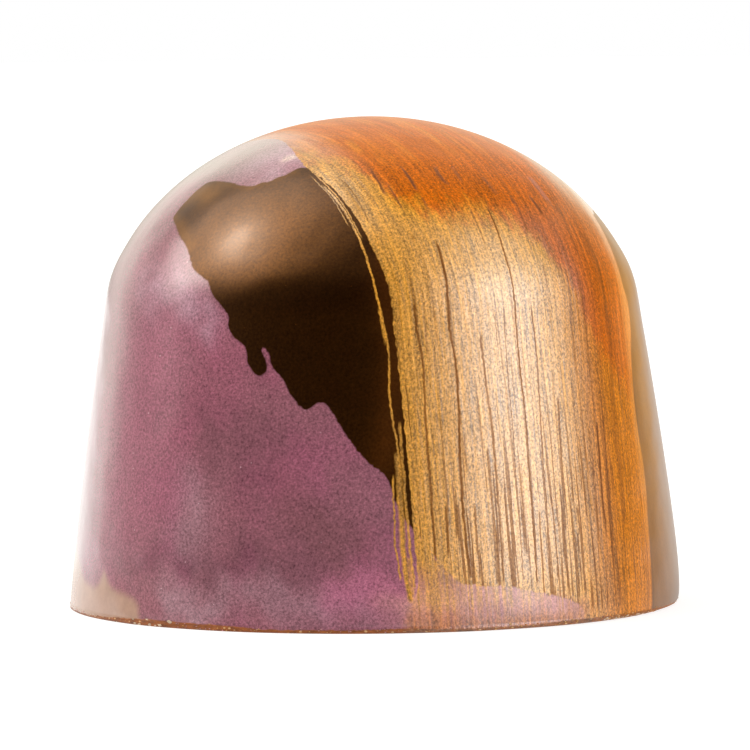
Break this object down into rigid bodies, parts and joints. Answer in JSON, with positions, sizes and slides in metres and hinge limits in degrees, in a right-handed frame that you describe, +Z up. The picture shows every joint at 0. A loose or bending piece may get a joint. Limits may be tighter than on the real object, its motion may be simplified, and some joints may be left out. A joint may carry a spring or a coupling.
{
  "type": "chocolate bonbon",
  "caption": "Moulded chocolate bonbon: round draughted body under a low glossy dome, hand-painted, standing on a flat sealed base.",
  "frame": {"origin": "middle of the flat base, on the surface that the bonbon stands on", "axes": "+Z up along the bonbon's turning axis; -Y is the front, where the copper stripe and the bare chocolate patch show; +X is to the right seen from the front"},
  "size_m": [0.0278, 0.028, 0.0222],
  "materials": {
    "painted_chocolate": "mould-glossy dark chocolate, splashed with purple cocoa butter and brushed with a copper-gold stripe"
  },
  "bodies": {
    "root": {"bonbon": "painted_chocolate"}
  },
  "joints": []
}
